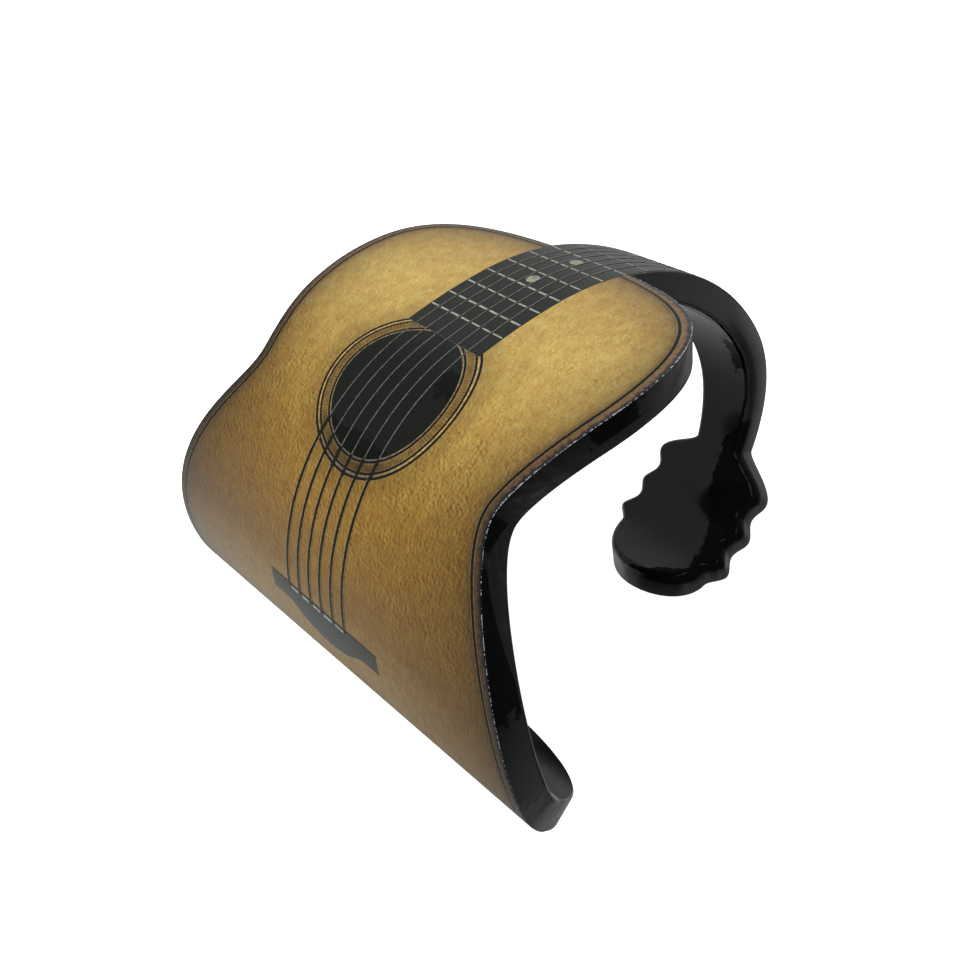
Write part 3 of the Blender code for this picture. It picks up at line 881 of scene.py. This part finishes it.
def board():
    """The glossy black of the fretboard, glossier where the neck bends away as a painted sheen."""
    made = Finish("board_ink", (0.010, 0.010, 0.008), 0.13)
    flat = made.flat()
    x = made.places(flat)[0]
    speck = made.cloud(flat, 2.5, 3.0, 0.6)
    # Gloss set by place along the neck: painted sheen, stronger round the bend.
    near = made.span(x, -20.0, -4.0, 0.36, 0.29, False)
    bent = made.span(x, 1.5, 6.0, 1.0, 3.4)
    made.feed("Specular IOR Level", made.product(near, bent))
    made.feed("Base Color", made.mix(speck, (0.0062, 0.0078, 0.0048), (0.0090, 0.0110, 0.0070)))
    made.feed("Roughness", made.span(speck, 0.3, 0.7, 0.11, 0.15))
    made.bump(speck, 0.003)
    return made.material


def fading_ink(name, colour, shifted_tone):
    """An ink of the board that fades to a darker colour round the bend of the neck."""
    made = Finish(name, colour, 0.14)
    flat = made.flat()
    speck = made.cloud(flat, 4.0, 3.0, 0.6)
    bend_colour = made.mix(made.span(made.places(flat)[0], 0.0, 5.0), colour, shifted_tone)
    made.feed("Base Color", made.mix(1.0, bend_colour, made.span(speck, 0.3, 0.7, 0.6, 1.4), "MULTIPLY"))
    made.bump(speck, 0.003)
    return made.material


# Pieces

def ink_mesh(node, outlines, heights):
    return placed(flat_solid(outlines, *heights), "look_" + node)


def paint_by(mesh, choose):
    """Give each face the material number that its middle place in the flat sheet calls for."""
    flat = mesh.attributes["flat"].data
    for face in mesh.polygons:
        middle = sum((Vector(flat[v].vector) for v in face.vertices), Vector()) / len(face.vertices)
        face.material_index = choose(middle)


def mark_edge(mesh):
    """Each point's distance from the body's rim in the flat sheet."""
    near = [point for point, _ in rim_points(0.0, RIM_STEP)]
    tree = KDTree(2 * len(near))
    for number, point in enumerate(near):
        tree.insert((point.x, point.y, 0.0), number)
        tree.insert((point.x, -point.y, 0.0), number)
    tree.balance()
    edge = mesh.attributes.new("edge", "FLOAT", "POINT")
    for place, item in zip(mesh.attributes["flat"].data, edge.data):
        item.value = tree.find((place.vector[0], place.vector[1], 0.0))[2]
    return mesh


def tighten_rim(shape):
    """Draw the inner rim's rounding in towards the corner, all along the body and most of the neck."""
    corners = sheet_outline()
    tree = KDTree(len(corners))
    for number, corner in enumerate(corners):
        tree.insert((corner.x, corner.y, -SHEET_THICKNESS), number)
    tree.balance()
    for vert in shape.verts:
        if vert.co.z < INNER_RIM_ROUND + SNAP - SHEET_THICKNESS:
            corner = tree.find((vert.co.x, vert.co.y, -SHEET_THICKNESS))[0]
            along = min(max((corner.x - ROUND_FROM) / (ROUND_TO - ROUND_FROM), 0.0), 1.0)
            share = BODY_RIM_SHARE + (1.0 - BODY_RIM_SHARE) * along
            vert.co = corner.lerp(vert.co, share)


def sheet_mesh():
    shape = flat_solid([sheet_outline()], -SHEET_THICKNESS, 0.0)
    for height, radius in ((-SHEET_THICKNESS, INNER_RIM_ROUND), (0.0, OUTER_RIM_ROUND)):
        rim = [e for e in shape.edges if all(abs(v.co.z - height) < SNAP for v in e.verts)]
        bmesh.ops.bevel(shape, geom=rim, offset=radius, segments=RIM_SEGMENTS, profile=0.5, affect="EDGES")
    tighten_rim(shape)
    mesh = placed(shape, "look_cuff_blank")
    side = mesh.attributes.new("side", "FLOAT", "POINT")
    low, high = SNAP - SHEET_THICKNESS, -SNAP
    for place, item in zip(mesh.attributes["flat"].data, side.data):
        item.value = 1.0 if low < place.vector[2] < high else 0.0
    return mesh


def field_mesh(outline, heights, step):
    """The wooden field, fine enough to carry each point's distance from the rim."""
    shape = flat_solid([outline], *heights)
    cut_across(shape, 1, step)
    return mark_edge(placed(shape, "look_soundboard_print"))


def rim_points(inset, step):
    """Points at even steps along the near side of the body's rim, with the way inwards."""
    line = inset_half(inset, neck_half_width(0.0))
    line = [Vector((p.x, -p.y)) for p in line]
    walked, found = 0.0, []
    for start, end in zip(line, line[1:]):
        length = (end - start).length
        inwards = Vector((end.y - start.y, start.x - end.x)).normalized()
        while walked < length:
            found.append((start.lerp(end, walked / length), -inwards))
            walked += step
        walked -= length
    return found


def flecks():
    """Flecks along the near cut edge, partly where the print chipped to bare the white under it and partly
    painted glints of the edge.
    """
    runs, run = [], []
    for point, inwards in rim_points(FLECK_INSET, RIM_STEP):
        rough = 0.9 * noise.noise(Vector((point.x * 3.7, point.y * 3.7, 3.0)))
        rough += 1.0 * noise.noise(Vector((point.x * 9.1, point.y * 9.1, 5.0)))
        much = 0.5 + 0.7 * noise.noise(Vector((point.x * 0.16, point.y * 0.16, 9.0)))
        width = FLECK_WIDTH * (rough + 0.9 * much)
        if width > FLECK_LEAST:
            run.append((point, point + inwards * min(width, FLECK_WIDTH)))
        elif run:
            runs.append(run)
            run = []
    return [[a for a, _ in r] + [b for _, b in reversed(r)] for r in runs if len(r) > 1]


def neck_flecks():
    """Sparse flecks along the near edge of the neck, partly bared white coat and partly painted glints of
    the edge.
    """
    found = []
    for step in range(NECK_FLECK_COUNT):
        x = NECK_FLECK_START + step * NECK_FLECK_STEP + chance.uniform(-0.5, 0.5) * NECK_FLECK_STEP
        length = chance.uniform(*NECK_FLECK_LENGTHS)
        if chance.random() < NECK_FLECK_SHARE:
            outer = -neck_half_width(x) + NECK_FLECK_INSET
            found.append(rectangle(x, x + length, outer, outer + chance.uniform(*NECK_FLECK_WIDTHS)))
    return found


def between_strings(x, width, share):
    """Bars across the sheet in the spaces between the strings, of uneven lengths and widths."""
    found = []
    for number in range(STRING_COUNT - 1):
        low, high = string_y(number, x), string_y(number + 1, x)
        middle = (low + high) / 2 + chance.uniform(-0.08, 0.08)
        reach = (high - low) / 2 * share * chance.uniform(0.85, 1.1)
        wide = width / 2 * chance.uniform(0.8, 1.1)
        found.append(rectangle(x - wide, x + wide, middle - reach, middle + reach))
    return found


def dashes(x, width, half, gap):
    """A line across the sheet, broken where the strings cross it."""
    stops = [-half]
    for number in range(STRING_COUNT):
        y = string_y(number, x)
        stops += [y - gap, y + gap]
    stops.append(half)
    found = []
    for low, high in zip(stops[::2], stops[1::2]):
        wide = width / 2 * chance.uniform(0.8, 1.15)
        if high - low > gap / 2:
            found.append(rectangle(x - wide, x + wide, low, high))
    return found


chance = random.Random(SEED)
sheet = sheet_mesh()
REST = rest_matrix(sheet)
sheet_piece = add_piece(sheet, [black_sheet()], "cuff_blank")
weighted = sheet_piece.modifiers.new("faces", "WEIGHTED_NORMAL")
weighted.keep_sharp = True

LINE = ink("line_ink", (0.010, 0.009, 0.008), 0.30, shine=0.15)
TAN = ink("tan_ink", (0.46, 0.30, 0.10), 0.30, 0.4, tail=0.4)
DARK_TAN = ink("dark_tan_ink", (0.27, 0.18, 0.075), 0.30, 0.5, tail=0.25)
PALE_TAN = ink("pale_tan_ink", (0.18, 0.115, 0.045), 0.30, 0.4)
BROWN = hatched()
SADDLE_INK = ink("saddle_ink", (0.55, 0.57, 0.49), 0.40, 0.35, 4.0)
FRET_INK = fading_ink("fret_ink", (0.33, 0.33, 0.30), (0.08, 0.08, 0.07))
DOT_INK = ink("dot_ink", (0.30, 0.30, 0.20), 0.35, 0.40, 1.6)
STRING_INK = ink("string_ink", (0.010, 0.011, 0.011), 0.30, shine=0.15)
GLOW_INK = ink("string_glow_ink", (0.36, 0.24, 0.075), 0.30, 0.4)
PALE_STRING_INK = fading_ink("pale_string_ink", (0.11, 0.115, 0.105), (0.045, 0.045, 0.045))

# White flecks along the near edge: partly bared coat, partly painted glints of the cut edge.
coat = ink_mesh("base_coat", [coat_outline()] + flecks() + neck_flecks(), COAT)
add_piece(coat, [ink("white_coat", (0.36, 0.36, 0.38), 0.45, 0.5, 4.0)], "base_coat")
purfling_end = PURFLING_INSET + PURFLING_WIDTH
mesh = ink_mesh("border_print", [rim_band(BORDER_MARGIN, PURFLING_INSET - LIGHT_LINE - AREA_GAP)], AREA)
add_piece(mark_edge(mesh), [border()], "border_print")
bands = [rim_band(PURFLING_INSET - LIGHT_LINE, PURFLING_INSET), rim_band(PURFLING_INSET, purfling_end),
         rim_band(purfling_end, purfling_end + LIGHT_LINE)]
mesh = mark_edge(ink_mesh("purfling_line", bands, AREA))
add_piece(mesh, [LINE, PALE_TAN], "purfling_line")
edges = [item.value for item in mesh.attributes["edge"].data]
for face in mesh.polygons:
    depth = sum(edges[v] for v in face.vertices) / len(face.vertices)
    face.material_index = 0 if PURFLING_INSET < depth < purfling_end else 1

ring_radius = HOLE_RADIUS
for node, width, finish, slot in (
    ("rosette_inner_band", INNER_BAND_WIDTH, DARK_TAN, "tan_ink"),
    ("rosette_inner_line", INNER_LINE_WIDTH, LINE, "line_ink"),
    ("rosette_main_band", MAIN_BAND_WIDTH, BROWN, "brown_ink"),
    ("rosette_mid_line", MID_LINE_WIDTH, LINE, "line_ink"),
    ("rosette_outer_band", OUTER_BAND_WIDTH, TAN, "tan_ink"),
    ("rosette_outer_line", OUTER_LINE_WIDTH, LINE, "line_ink"),
):
    outline = ring_outline(ring_radius, ring_radius + width - AREA_GAP)
    add_piece(ink_mesh(node, [outline], AREA), [finish], node)
    ring_radius += width

outline = soundboard_outline(purfling_end + LIGHT_LINE + AREA_GAP, ring_radius)
add_piece(field_mesh(outline, AREA, FIELD_STEP), [wood()], "soundboard_print")
mesh = ink_mesh("soundhole_print", [hole_outline()], AREA)
add_piece(mesh, [hole()], "soundhole_print")
mesh = ink_mesh("fretboard_print", [board_outline()], AREA)
add_piece(mesh, [board()], "fretboard_print")
nut_end = nut_at() + NUT_WIDTH
nut = bar(nut_at(), nut_end, board_half_width(nut_at()), board_half_width(nut_end))
add_piece(ink_mesh("nut_print", [nut], AREA), [SADDLE_INK], "nut_print")

for number in range(NUT_FRET + 1, LAST_FRET + 1):
    x = fret_at(number)
    lines = dashes(x, FRET_WIDTH, board_half_width(x) - FRET_INSET, FRET_GAP)
    node = f"fret_{number:02d}"
    add_piece(ink_mesh(node, lines, MARK), [FRET_INK], node)
dots = [(f"dot_{fret:02d}", fret, 0.0, SINGLE_DOT_RADIUS) for fret in SINGLE_DOT_FRETS]
dots.append((f"dot_{DOUBLE_DOT_FRET}a", DOUBLE_DOT_FRET, -DOUBLE_DOT_HALF_SPREAD, DOUBLE_DOT_RADIUS))
dots.append((f"dot_{DOUBLE_DOT_FRET}b", DOUBLE_DOT_FRET, DOUBLE_DOT_HALF_SPREAD, DOUBLE_DOT_RADIUS))
for node, fret, y, radius in dots:
    add_piece(ink_mesh(node, [dot_outline(fret, y, radius)], MARK), [DOT_INK], node)
bridge_top = rectangle(-BRIDGE_FROM_JOINT - BRIDGE_LINE, -BRIDGE_FROM_JOINT,
                       BRIDGE_SHIFT - BRIDGE_HALF_WIDTH, BRIDGE_SHIFT + BRIDGE_HALF_WIDTH)
mesh = ink_mesh("bridge_print", [bridge_outline(), bridge_top], MARK)
paint_by(mesh, lambda place: 1 if place.x > -BRIDGE_FROM_JOINT - BRIDGE_LINE else 0)
add_piece(mesh, [ink("bridge_ink", (0.016, 0.017, 0.012), 0.30), LINE], "bridge_print")
lines = between_strings(saddle_at(), SADDLE_WIDTH, SADDLE_SHARE)
add_piece(ink_mesh("saddle_print", lines, SADDLE), [SADDLE_INK], "saddle_print")

for number in range(STRING_COUNT):
    node = f"string_{number + 1}"
    off_middle = string_y(number, -HOLE_FROM_JOINT) - HOLE_SHIFT
    hole_start = -HOLE_FROM_JOINT - math.sqrt(HOLE_RADIUS ** 2 - off_middle ** 2)
    reach = STRING_WIDTH / 2
    start, glow_end = saddle_at() + SADDLE_WIDTH / 2, hole_start - GLOW_TO_HOLE
    strips = [string_strip(number, start, hole_start, -reach, reach),
              string_strip(number, hole_start, nut_end - NUT_WIDTH / 2, -PALE_REACH, PALE_REACH),
              string_strip(number, -BRIDGE_FROM_JOINT, glow_end, reach, reach + STRING_GLOW),
              string_strip(number, -BRIDGE_FROM_JOINT, glow_end, -reach - STRING_GLOW, -reach)]
    mesh = ink_mesh(node, strips, STRING)

    def string_part(place):
        if place.x > hole_start:
            return 1
        return 2 if abs(place.y - string_y(number, place.x)) > reach else 0

    paint_by(mesh, string_part)
    add_piece(mesh, [STRING_INK, PALE_STRING_INK, GLOW_INK], node)


# Stage, light and camera

def crown_axes(matrix):
    return Matrix.Translation(REST.translation) @ Matrix.Rotation(REST_TILT, 4, "Y") @ matrix


def add_camera():
    turn = Matrix.Rotation(VIEW_TURN.length, 3, VIEW_TURN.normalized())
    place = -(turn.transposed() @ VIEW_SHIFT) * MM
    axes = Matrix((turn[0], -turn[1], -turn[2])).transposed()
    data = bpy.data.cameras.new("camera")
    data.lens = FOCAL_PIXELS / FRAME_PIXELS * data.sensor_width
    data.clip_start = MM
    camera = bpy.data.objects.new("camera", data)
    camera.matrix_world = crown_axes(Matrix.Translation(place) @ axes.to_4x4())
    bpy.context.scene.collection.objects.link(camera)
    bpy.context.scene.camera = camera


def add_floor():
    """A white sheet that shows behind the object and doesn't mirror in its black sides."""
    mesh = bpy.data.meshes.new("floor")
    corners = [(-FLOOR_REACH, -FLOOR_REACH, 0.0), (FLOOR_REACH, -FLOOR_REACH, 0.0),
               (FLOOR_REACH, FLOOR_REACH, 0.0), (-FLOOR_REACH, FLOOR_REACH, 0.0)]
    mesh.from_pydata(corners, [], [(0, 1, 2, 3)])
    floor = bpy.data.objects.new("floor", mesh)
    made = Finish("floor", (0.9, 0.9, 0.9), 0.9, Emission_Color=(*WHITE, 1.0), Emission_Strength=1.0)
    mesh.materials.append(made.material)
    floor.visible_glossy = False
    floor.visible_diffuse = False
    bpy.context.scene.collection.objects.link(floor)


def add_light(name, place, aim, size, radiance, colour):
    """A square soft box of a given brightness."""
    data = bpy.data.lights.new(name, "AREA")
    data.size = size
    data.energy = radiance * math.pi * size ** 2
    data.color = colour
    light = bpy.data.objects.new(name, data)
    light.location = place
    light.rotation_euler = (Vector(aim) - Vector(place)).to_track_quat("-Z", "Y").to_euler()
    bpy.context.scene.collection.objects.link(light)


def direction(azimuth, elevation):
    turn, rise = math.radians(azimuth), math.radians(elevation)
    return Vector((math.cos(turn) * math.cos(rise), math.sin(turn) * math.cos(rise), math.sin(rise)))


def add_world():
    """A dim room with a few lighter and darker sides, which the camera sees as white."""
    world = bpy.data.worlds.new("world")
    world.use_nodes = True
    nodes, links = world.node_tree.nodes, world.node_tree.links
    room = nodes["Background"]
    room.inputs["Color"].default_value = ROOM_COLOUR
    looking = nodes.new("ShaderNodeTexCoord").outputs["Generated"]
    strength = ROOM_STRENGTH
    for azimuth, elevation, inner, outer, level in ROOM_SIDES:
        towards = nodes.new("ShaderNodeVectorMath")
        towards.operation = "DOT_PRODUCT"
        links.new(looking, towards.inputs[0])
        towards.inputs[1].default_value = direction(azimuth, elevation)
        share = nodes.new("ShaderNodeMapRange")
        share.interpolation_type = "SMOOTHSTEP"
        links.new(towards.outputs["Value"], share.inputs["Value"])
        share.inputs["From Min"].default_value = math.cos(math.radians(outer))
        share.inputs["From Max"].default_value = math.cos(math.radians(inner))
        blend = nodes.new("ShaderNodeMix")
        links.new(share.outputs[0], blend.inputs[0])
        if isinstance(strength, float):
            blend.inputs[2].default_value = strength
        else:
            links.new(strength, blend.inputs[2])
        blend.inputs[3].default_value = level
        strength = blend.outputs[0]
    links.new(strength, room.inputs["Strength"])
    backdrop = nodes.new("ShaderNodeBackground")
    backdrop.inputs["Color"].default_value = (*WHITE, 1.0)
    chosen = nodes.new("ShaderNodeMixShader")
    links.new(nodes.new("ShaderNodeLightPath").outputs["Is Camera Ray"], chosen.inputs[0])
    links.new(room.outputs[0], chosen.inputs[1])
    links.new(backdrop.outputs[0], chosen.inputs[2])
    links.new(chosen.outputs[0], nodes["World Output"].inputs["Surface"])
    bpy.context.scene.world = world


add_camera()
add_floor()
add_world()
key_place = KEY_DISTANCE * direction(KEY_AZIMUTH, KEY_ELEVATION)
add_light("key", key_place, KEY_AIM, KEY_SIZE, KEY_RADIANCE, WHITE)
bpy.context.scene.view_settings.view_transform = "Standard"
